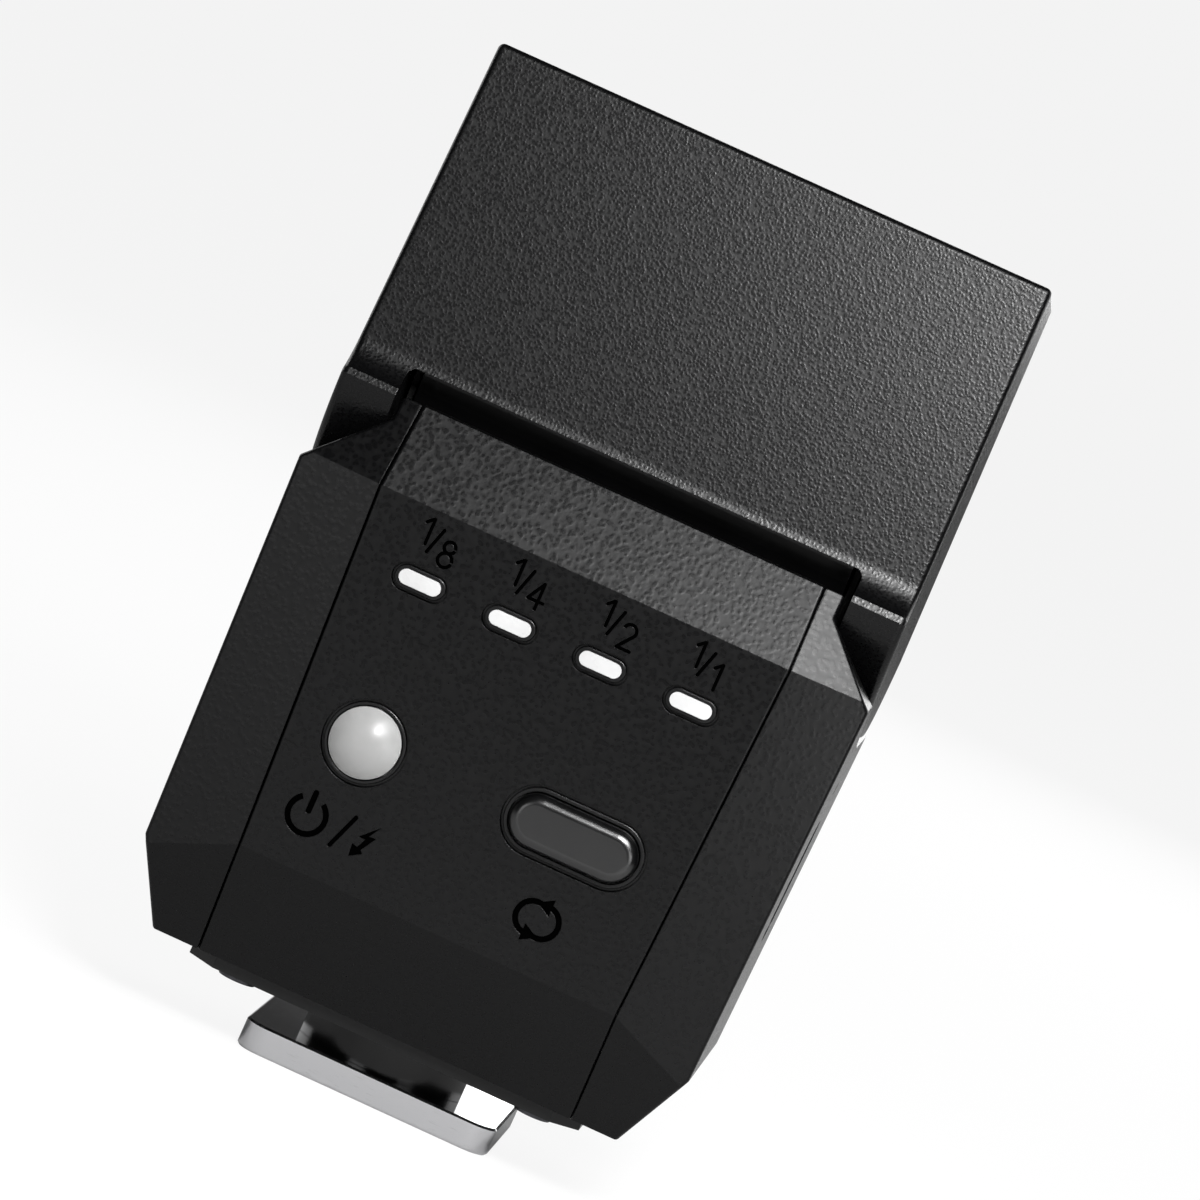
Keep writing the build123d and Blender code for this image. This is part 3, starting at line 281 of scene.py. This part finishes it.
def mottle_group():
    """Slow, faint variation, as a moulded or handled surface has."""
    group, source, sink = new_group("soft_mottle", [("Size", 6 * MM), ("Low", 0.9), ("High", 1.1)],
                                    ["Tone"])
    cloud = add_node(group, "ShaderNodeTexNoise",
                     {"Vector": scaled_point(group, source.outputs["Size"]), "Scale": 1.0,
                      "Detail": 3.0}).outputs[0]
    tone = remap(group, cloud, 0.3, 0.7, source.outputs["Low"], source.outputs["High"])
    group.links.new(tone, sink.inputs["Tone"])
    return group


def polish_group():
    """Fine polishing lines that run along X, with a few longer scratches."""
    group, source, sink = new_group("polish_lines", [("Pitch", 0.05 * MM), ("Stretch", 30.0)],
                                    ["Height", "Scratch"])
    point = scaled_point(group, source.outputs["Pitch"])
    along = math_node(group, "DIVIDE", 1.0, source.outputs["Stretch"])
    squeeze = add_node(group, "ShaderNodeCombineXYZ", {0: along, 1: 1.0, 2: 1.0}).outputs[0]
    drawn = add_node(group, "ShaderNodeVectorMath", {0: point, 1: squeeze}, operation="MULTIPLY")
    lines = add_node(group, "ShaderNodeTexNoise",
                     {"Vector": drawn.outputs[0], "Scale": 1.0, "Detail": 3.0}).outputs[0]
    group.links.new(lines, sink.inputs["Height"])
    group.links.new(remap(group, lines, 0.62, 0.7, 0.0, 1.0), sink.inputs["Scratch"])
    return group


GROUP_MAKERS = {"moulded_grain": grain_group, "soft_mottle": mottle_group, "polish_lines": polish_group}


def use_group(tree, name, **values):
    """Places a shared group in a material, with its own values, and gives its outputs."""
    group = bpy.data.node_groups.get(name) or GROUP_MAKERS[name]()
    placed = tree.nodes.new("ShaderNodeGroup")
    placed.node_tree = group
    for label, value in values.items():
        placed.inputs[label].default_value = value
    return placed.outputs


def new_material(name, colour, roughness, **shader_values):
    """A material with one Principled shader, its node tree and that shader."""
    made = bpy.data.materials.new(name)
    made.use_nodes = True
    tree = made.node_tree
    shader = tree.nodes["Principled BSDF"]
    shader.inputs["Base Color"].default_value = rgba(colour)
    shader.inputs["Roughness"].default_value = roughness
    for label, value in shader_values.items():
        shader.inputs[label.replace("_", " ")].default_value = value
    return made, tree, shader


def bump(tree, shader, height, depth, edge=0.0):
    """Feeds a height into the shader's normal, and rounds the look of sharp edges."""
    relief = add_node(tree, "ShaderNodeBump", {"Height": height, "Distance": depth})
    if edge:
        soft = add_node(tree, "ShaderNodeBevel", {"Radius": edge}, samples=EDGE_SAMPLES)
        tree.links.new(soft.outputs[0], relief.inputs["Normal"])
    tree.links.new(relief.outputs[0], shader.inputs["Normal"])


def toned_colour(tree, shader, colour, size, low, high):
    """Feeds a faintly mottled colour into the shader, and gives the mottling."""
    tone = use_group(tree, "soft_mottle", Size=size, Low=low, High=high)["Tone"]
    tinted = mix_colour(tree, tone, BLACK, rgba(colour))
    tree.links.new(tinted, shader.inputs["Base Color"])
    return tone


def dress(material, *nodes):
    """Puts a material on CAD nodes."""
    for name in nodes:
        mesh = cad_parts[name].data
        if not mesh.materials:
            mesh.materials.append(material)
        for i in range(len(mesh.materials)):
            mesh.materials[i] = material


# ---------------------------------------------------------------- finishes
def grained_plastic(name, colour, pitch, depth):
    """Black shell plastic with a moulded grain, a little glossier on the tops of the grain."""
    made, tree, shader = new_material(name, colour, SHELL_ROUGHNESS, Specular_IOR_Level=0.16)
    grain = use_group(tree, "moulded_grain", Pitch=pitch, Crowns=0.6)
    toned_colour(tree, shader, colour, 5 * MM, 0.86, 1.0)
    gloss = remap(tree, grain["Crown"], 0.0, 1.0, SHELL_ROUGHNESS + 0.08, SHELL_ROUGHNESS - 0.02)
    tree.links.new(gloss, shader.inputs["Roughness"])
    bump(tree, shader, grain["Height"], depth, EDGE_SOFTNESS)
    return made, tree, shader


def satin_plastic(name, colour, roughness, depth=SMOOTH_DEPTH):
    """Smooth moulded plastic with the faint unevenness of a polished mould."""
    made, tree, shader = new_material(name, colour, roughness, Specular_IOR_Level=0.25)
    tone = toned_colour(tree, shader, colour, 3 * MM, 0.85, 1.0)
    fine = use_group(tree, "moulded_grain", Pitch=0.12 * MM, Crowns=0.1)
    tree.links.new(math_node(tree, "MULTIPLY", tone, roughness), shader.inputs["Roughness"])
    bump(tree, shader, fine["Height"], depth, EDGE_SOFTNESS)
    return made, shader


def worn_metal(name, roughness, pitch=0.05 * MM, depth=0.001 * MM, stretch=30.0):
    """Metal with fine polishing lines."""
    colour = TINTS[name]
    made, tree, shader = new_material(name, colour, roughness, Metallic=1.0)
    lines = use_group(tree, "polish_lines", Pitch=pitch, Stretch=stretch)
    rough = math_node(tree, "MULTIPLY_ADD", lines["Scratch"], 0.15, roughness)
    tree.links.new(rough, shader.inputs["Roughness"])
    tree.links.new(mix_colour(tree, lines["Scratch"], rgba(colour), rgba(colour, 0.8)),
                   shader.inputs["Base Color"])
    bump(tree, shader, lines["Height"], depth)
    return made


def clear_plastic(name, roughness, clearness, haze_size, haze_low, haze_high):
    """Clear plastic or glass with a faint haze."""
    made, tree, shader = new_material(name, TINTS[name], roughness, Transmission_Weight=clearness,
                                      IOR=CLEAR_IOR)
    haze = use_group(tree, "soft_mottle", Size=haze_size, Low=haze_low, High=haze_high)
    tree.links.new(haze["Tone"], shader.inputs["Roughness"])
    return made


def mask_marks(tree, shader):
    """Turns the sunk floors of the panel's marks deep black."""
    face_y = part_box("rear_panel")[0].y
    split = add_node(tree, "ShaderNodeSeparateXYZ", {0: object_point(tree)})
    sunk = remap(tree, split.outputs["Y"], face_y + MARK_SINK[0], face_y + MARK_SINK[1], 0.0, 1.0)
    bottom, top = MARK_BAND
    above = remap(tree, split.outputs["Z"], bottom, bottom + MARK_BAND_EDGE, 0.0, 1.0)
    below = remap(tree, split.outputs["Z"], top, top - MARK_BAND_EDGE, 0.0, 1.0)
    mask = math_node(tree, "MULTIPLY", math_node(tree, "MULTIPLY", above, below), sunk)
    old_colour = shader.inputs["Base Color"].links[0].from_socket
    old_rough = shader.inputs["Roughness"].links[0].from_socket
    tree.links.new(mix_colour(tree, mask, old_colour, MARK_BLACK), shader.inputs["Base Color"])
    tree.links.new(mask, shader.inputs["Metallic"])
    blend = add_node(tree, "ShaderNodeMix", {0: mask, 2: old_rough, 3: MARK_ROUGHNESS},
                     data_type="FLOAT")
    tree.links.new(blend.outputs[0], shader.inputs["Roughness"])


class FLASH_OT_shell_finish(bpy.types.Operator):
    """Gives the head, the body and the control panel their grained black plastic"""
    bl_idname = "flash.shell_finish"
    bl_label = "Shell finish"

    def execute(self, context):
        look = context.scene.flash_finish
        colour, depth = look.shell_colour, look.grain_depth
        head, _, _ = grained_plastic("head_grain", colour, look.head_grain, depth)
        body, _, _ = grained_plastic("body_grain", colour, look.body_grain, depth)
        panel, tree, shader = grained_plastic("panel_grain", colour, look.body_grain, depth)
        mask_marks(tree, shader)
        dress(head, "head_shell")
        dress(body, "main_housing")
        dress(panel, "rear_panel")
        return {"FINISHED"}


class FLASH_OT_trim_finish(bpy.types.Operator):
    """Gives the hinge drum, the rims, the bezel and the stem their smooth black plastic"""
    bl_idname = "flash.trim_finish"
    bl_label = "Trim finish"

    def execute(self, context):
        look = context.scene.flash_finish
        drum, _ = satin_plastic("drum_satin", look.trim_colour, 0.38)
        rim, _ = satin_plastic("rim_satin", look.trim_colour, 0.3)
        stem, _ = satin_plastic("stem_gloss", look.trim_colour, 0.16)
        dress(drum, "hinge_cradle", "base_plate")
        dress(rim, "led_bezels", "button_rings", "head_front_bezel")
        dress(stem, "foot_stem")
        return {"FINISHED"}


class FLASH_OT_control_finish(bpy.types.Operator):
    """Gives the buttons, the power windows and the charge light their plastics"""
    bl_idname = "flash.control_finish"
    bl_label = "Control finish"

    def execute(self, context):
        look = context.scene.flash_finish
        white, shader = satin_plastic("white_button", look.white_colour, 0.35, BUTTON_DEPTH)
        shader.inputs["Subsurface Weight"].default_value = 0.3
        shader.inputs["Subsurface Radius"].default_value = (1.0, 1.0, 1.0)
        shader.inputs["Subsurface Scale"].default_value = 0.4 * MM
        window, _ = satin_plastic("milky_window", look.window_colour, 0.3, BUTTON_DEPTH)
        button, shader = satin_plastic("black_button", look.trim_colour, 0.24)
        shader.inputs["Specular IOR Level"].default_value = 0.55
        dress(white, "power_button")
        dress(window, "led_light_pipes", "side_light_pipe")
        dress(button, "mode_button")
        return {"FINISHED"}


class FLASH_OT_metal_finish(bpy.types.Operator):
    """Gives the foot plate, the contacts, the springs and the screws their metals"""
    bl_idname = "flash.metal_finish"
    bl_label = "Metal finish"

    def execute(self, context):
        chrome = worn_metal("foot_chrome", 0.1)
        brass = worn_metal("contact_brass", 0.16)
        steel = worn_metal("bright_steel", 0.25)
        dark = worn_metal("dark_screw", 0.38)
        mirror = worn_metal("mirror_sheet", 0.12, pitch=0.2 * MM)
        dress(chrome, "foot_plate")
        dress(brass, "centre_contact_pin", "contact_terminal")
        dress(steel, "contact_spring", "hinge_pin_left", "hinge_pin_right", "usb_socket",
              "trigger_wire", "tact_switches")
        dress(dark, "foot_screws", "base_screws", "cradle_screws", "board_screws", "head_screws")
        dress(mirror, "reflector")
        return {"FINISHED"}


class FLASH_OT_inner_finish(bpy.types.Operator):
    """Gives the boards, the cell, the coils and the other inner parts their finishes"""
    bl_idname = "flash.inner_finish"
    bl_label = "Inner finish"

    def execute(self, context):
        plastics = (
            ("black_insulator", 0.45, SMOOTH_DEPTH, ("contact_insulator", "usb_tongue")),
            ("washer_nylon", 0.5, SMOOTH_DEPTH, ("friction_washers",)),
            ("board_mask", 0.28, SMOOTH_DEPTH, ("control_board", "head_terminal_board")),
            ("soft_rubber", 0.7, 0.01 * MM, ("battery_pad", "tube_sleeves")),
            ("capacitor_sleeve", 0.3, SMOOTH_DEPTH, ("flash_capacitor", "power_transistor")),
            ("lead_red", 0.4, SMOOTH_DEPTH, ("body_leads",)),
            ("lamp_body", 0.3, SMOOTH_DEPTH, ("indicator_lamps",)),
        )
        for name, roughness, depth, nodes in plastics:
            made, _ = satin_plastic(name, TINTS[name], roughness, depth)
            dress(made, *nodes)
        pouch = worn_metal("cell_pouch", 0.42, pitch=0.6 * MM, depth=0.02 * MM, stretch=2.0)
        copper = worn_metal("coil_copper", 0.3, pitch=0.12 * MM, depth=0.03 * MM)
        dress(pouch, "battery_cell")
        dress(copper, "step_up_transformer", "trigger_coil")
        return {"FINISHED"}


class FLASH_OT_glass_finish(bpy.types.Operator):
    """Gives the flash window and the flash tube their clear finishes"""
    bl_idname = "flash.glass_finish"
    bl_label = "Glass finish"

    def execute(self, context):
        clear = (("window_clear", "flash_lens", 0.04), ("tube_glass", "xenon_tube", 0.0))
        for name, node, roughness in clear:
            made = clear_plastic(name, roughness, 1.0, 2 * MM, roughness, roughness + 0.03)
            dress(made, node)
        return {"FINISHED"}


# ---------------------------------------------------------------- pieces
def turn_outline(bm, points, edges, centre, steps):
    """Turns an outline all the way round the X axis through a point."""
    bmesh.ops.spin(bm, geom=points + edges, cent=centre, axis=(1, 0, 0), angle=FULL_TURN,
                   steps=steps, use_merge=True)


def finish_piece(bm, name, material, body, smooth=False):
    """Turns a bmesh into an object that rides on a body and takes the given material."""
    bmesh.ops.recalc_face_normals(bm, faces=bm.faces)
    mesh = bpy.data.meshes.new(name)
    bm.to_mesh(mesh)
    bm.free()
    mesh.materials.append(material)
    for face in mesh.polygons:
        face.use_smooth = smooth
    piece = bpy.data.objects.new(name, mesh)
    bpy.context.scene.collection.objects.link(piece)
    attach(piece, body)
    return piece


class FLASH_OT_fresnel_sheet(bpy.types.Operator):
    """Makes the ribbed sheet behind the flash window"""
    bl_idname = "flash.fresnel_sheet"
    bl_label = "Ribbed sheet"

    def execute(self, context):
        sizes = context.scene.flash_pieces
        low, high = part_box("fresnel_sheet")
        corners = [v.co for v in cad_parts["fresnel_sheet"].data.vertices]
        foot = [co.y for co in corners if co.z < low.z + 0.1 * MM]
        front_high = max(co.y for co in corners if co.z > high.z - 0.1 * MM)
        front_low, thick = max(foot), max(foot) - min(foot)
        bm = bmesh.new()
        bmesh.ops.create_grid(bm, x_segments=2 * sizes.rib_count, y_segments=2, size=0.5)
        columns = sorted({round(v.co.x, 5) for v in bm.verts})
        for v in bm.verts:
            crest = columns.index(round(v.co.x, 5)) % 2
            share = v.co.y + 0.5
            front = front_low + (front_high - front_low) * share
            v.co = Vector((v.co.x * (high.x - low.x), front - (0 if crest else sizes.rib_depth),
                           low.z + (high.z - low.z) * share))
        shell = bmesh.ops.extrude_face_region(bm, geom=bm.faces[:])
        for v in shell["geom"]:
            if isinstance(v, bmesh.types.BMVert):
                share = (v.co.z - low.z) / (high.z - low.z)
                v.co.y = front_low + (front_high - front_low) * share - thick
        made = clear_plastic("ribbed_clear", 0.12, 0.75, 1.5 * MM, 0.1, 0.18)
        piece = finish_piece(bm, "ribbed_sheet", made, "head")
        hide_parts("fresnel_sheet")
        return {"FINISHED"}


class FLASH_OT_socket_contacts(bpy.types.Operator):
    """Makes the rows of gilt contacts on the charging socket's tongue"""
    bl_idname = "flash.socket_contacts"
    bl_label = "Socket contacts"

    def execute(self, context):
        sizes = context.scene.flash_pieces
        low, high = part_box("usb_tongue")
        row = (high.z - low.z) * 0.86
        pitch = row / sizes.contact_count
        start = low.z + (high.z - low.z - row) / 2
        middle_x = high.x - sizes.contact_length / 2 - 0.3 * MM
        size = Matrix.Diagonal((sizes.contact_length, sizes.contact_thickness, pitch * 0.5, 1.0))
        bm = bmesh.new()
        for i in range(sizes.contact_count):
            for y in (low.y, high.y):
                place = Matrix.Translation((middle_x, y, start + (i + 0.5) * pitch))
                bmesh.ops.create_cube(bm, size=1.0, matrix=place @ size)
        bmesh.ops.bevel(bm, geom=bm.edges[:], offset=sizes.contact_thickness / 5, affect="EDGES",
                        segments=1, profile=0.5, material=-1)
        gilt = worn_metal("contact_gilt", 0.2)
        finish_piece(bm, "socket_contacts", gilt, "body")
        return {"FINISHED"}


class FLASH_OT_tube_electrodes(bpy.types.Operator):
    """Makes the turned electrodes inside both ends of the flash tube"""
    bl_idname = "flash.tube_electrodes"
    bl_label = "Tube electrodes"

    def execute(self, context):
        low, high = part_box("xenon_tube")
        middle = (low + high) / 2
        radius = (high.z - low.z) / 2
        bm = bmesh.new()
        for hand in (-1, 1):
            points = []
            for share, along in ELECTRODE_PROFILE:
                x = hand * (high.x - ELECTRODE_INSET + along * ELECTRODE_UNIT)
                points.append(bm.verts.new((x, middle.y + share * radius, middle.z)))
            edges = [bm.edges.new(pair) for pair in zip(points, points[1:])]
            turn_outline(bm, points, edges, (0, middle.y, middle.z), 24)
        bmesh.ops.remove_doubles(bm, verts=bm.verts, dist=MERGE_DISTANCE)
        nickel = worn_metal("electrode_nickel", 0.3)
        finish_piece(bm, "tube_electrodes", nickel, "head", smooth=True)
        return {"FINISHED"}


class FLASH_OT_painted_shade_rings(bpy.types.Operator):
    """Makes two thin near-black rings beside the hinge drum that block light through a see-through gap
    there: painted shade, not felt seals
    """
    bl_idname = "flash.hinge_seals"
    bl_label = "Hinge seals"

    def execute(self, context):
        sizes = context.scene.flash_pieces
        low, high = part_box("friction_washers")
        middle = (low + high) / 2
        inner = (high.z - low.z) / 2 + 0.2 * MM
        outer_x = high.x + 0.05 * MM
        outline = ((inner, 0.0), (sizes.shade_ring_radius, 0.0), (sizes.shade_ring_radius, sizes.shade_ring_thickness),
                   (inner, sizes.shade_ring_thickness))
        bm = bmesh.new()
        for hand in (-1, 1):
            points = [bm.verts.new((hand * (outer_x - along), middle.y + radius, middle.z))
                      for radius, along in outline]
            edges = [bm.edges.new(pair) for pair in zip(points, points[1:] + points[:1])]
            turn_outline(bm, points, edges, (0, middle.y, middle.z), 64)
        bmesh.ops.remove_doubles(bm, verts=bm.verts, dist=MERGE_DISTANCE)
        # painted shade: a matte near-black finish on rings whose only job is to block light through the
        # gap
        shade_black, _ = satin_plastic("seal_felt", TINTS["seal_felt"], 0.8, 0.02 * MM)
        finish_piece(bm, "hinge_seals", shade_black, "body")
        return {"FINISHED"}


# ---------------------------------------------------------------- stage
def area_light(name, place, aim, width, power):
    """Adds a soft square light that faces a point."""
    lamp = bpy.data.lights.new(name, "AREA")
    lamp.shape = "SQUARE"
    lamp.size = width
    lamp.energy = power
    holder = bpy.data.objects.new(name, lamp)
    bpy.context.scene.collection.objects.link(holder)
    facing = (Vector(aim) - Vector(place)).to_track_quat("-Z", "Y")
    holder.matrix_world = Matrix.Translation(place) @ facing.to_matrix().to_4x4()


class FLASH_OT_stage(bpy.types.Operator):
    """Sets up the camera, the pale floor and the soft lights"""
    bl_idname = "flash.stage"
    bl_label = "Stage"

    def execute(self, context):
        stage = context.scene.flash_stage
        self.make_camera(context, stage)
        self.make_floor(context, stage)
        self.make_world(context, stage)
        for name, (place, target, width, setting) in LIGHTS.items():
            area_light(name, place, target or stage.aim, width, getattr(stage, setting))
        context.scene.view_settings.view_transform = "Standard"
        return {"FINISHED"}

    def make_camera(self, context, stage):
        """Places the camera on its arm round the aim point and leans it."""
        lens = bpy.data.cameras.new("camera")
        lens.lens = stage.lens
        lens.sensor_width = SENSOR_WIDTH
        lens.clip_start = NEAR_CLIP
        camera = bpy.data.objects.new("camera", lens)
        context.scene.collection.objects.link(camera)
        side, lift = stage.azimuth, stage.elevation
        back = Vector((math.sin(side) * math.cos(lift), -math.cos(side) * math.cos(lift),
                       math.sin(lift)))
        right = Vector((math.cos(side), math.sin(side), 0.0))
        up = back.cross(right)
        turn_cos, turn_sin = math.cos(stage.roll), math.sin(stage.roll)
        axis_x = right * turn_cos + up * turn_sin
        axis_y = up * turn_cos - right * turn_sin
        camera.matrix_world = Matrix.Translation(stage.aim + back * stage.distance) @ Matrix(
            (axis_x, axis_y, back)).transposed().to_4x4()
        context.scene.camera = camera

    def make_floor(self, context, stage):
        """Makes a wide pale floor that looks nearly white, and lights the flash only faintly."""
        bm = bmesh.new()
        bmesh.ops.create_grid(bm, x_segments=1, y_segments=1, size=FLOOR_SIZE)
        mesh = bpy.data.meshes.new("floor")
        bm.to_mesh(mesh)
        bm.free()
        floor = bpy.data.objects.new("floor", mesh)
        context.scene.collection.objects.link(floor)
        made, tree, shader = new_material("pale_floor", stage.floor_colour, FLOOR_ROUGHNESS)
        glow = add_node(tree, "ShaderNodeEmission", {"Color": WHITE, "Strength": FLOOR_GLOW})
        path = add_node(tree, "ShaderNodeLightPath")
        share = math_node(tree, "MULTIPLY", path.outputs["Is Camera Ray"], FLOOR_GLOW_SHARE)
        lit = add_node(tree, "ShaderNodeMixShader", {0: share, 1: shader.outputs[0], 2: glow.outputs[0]})
        tree.links.new(lit.outputs[0], tree.nodes["Material Output"].inputs["Surface"])
        mesh.materials.append(made)

    def make_world(self, context, stage):
        """Makes a room that is white to the camera and dim to the flash."""
        world = bpy.data.worlds.new("white_room")
        context.scene.world = world
        world.use_nodes = True
        tree = world.node_tree
        room = tree.nodes["Background"]
        room.inputs["Color"].default_value = WHITE
        room.inputs["Strength"].default_value = stage.world_level
        seen = add_node(tree, "ShaderNodeBackground", {"Color": WHITE, "Strength": 1.0})
        path = add_node(tree, "ShaderNodeLightPath")
        both = add_node(tree, "ShaderNodeMixShader", {0: path.outputs["Is Camera Ray"],
                                                      1: room.outputs[0], 2: seen.outputs[0]})
        tree.links.new(both.outputs[0], tree.nodes["World Output"].inputs["Surface"])


# ---------------------------------------------------------------- panel and start
OPERATORS = (FLASH_OT_stage, FLASH_OT_shell_finish, FLASH_OT_trim_finish, FLASH_OT_control_finish,
             FLASH_OT_metal_finish, FLASH_OT_inner_finish, FLASH_OT_glass_finish,
             FLASH_OT_fresnel_sheet, FLASH_OT_socket_contacts, FLASH_OT_tube_electrodes,
             FLASH_OT_painted_shade_rings)


class FLASH_PT_parts(bpy.types.Panel):
    """Lists the steps that build the flash"""
    bl_idname = "FLASH_PT_parts"
    bl_label = "Compact flash"
    bl_space_type = "VIEW_3D"
    bl_region_type = "UI"
    bl_category = "Flash"

    def draw(self, context):
        for step in OPERATORS:
            self.layout.operator(step.bl_idname)


CLASSES = (StageSettings, FinishSettings, PieceSettings) + OPERATORS + (FLASH_PT_parts,)
SETTINGS = {"flash_stage": StageSettings, "flash_finish": FinishSettings, "flash_pieces": PieceSettings}


def register():
    """Registers the classes and the settings."""
    for cls in CLASSES:
        bpy.utils.register_class(cls)
    for name, group in SETTINGS.items():
        setattr(bpy.types.Scene, name, PointerProperty(type=group))


def unregister():
    """Removes the settings and the classes."""
    for name in SETTINGS:
        delattr(bpy.types.Scene, name)
    for cls in reversed(CLASSES):
        bpy.utils.unregister_class(cls)


def main():
    """Builds the whole scene."""
    register()
    for step in OPERATORS:
        area, name = step.bl_idname.split(".")
        getattr(getattr(bpy.ops, area), name)()


if __name__ == "__main__":
    main()
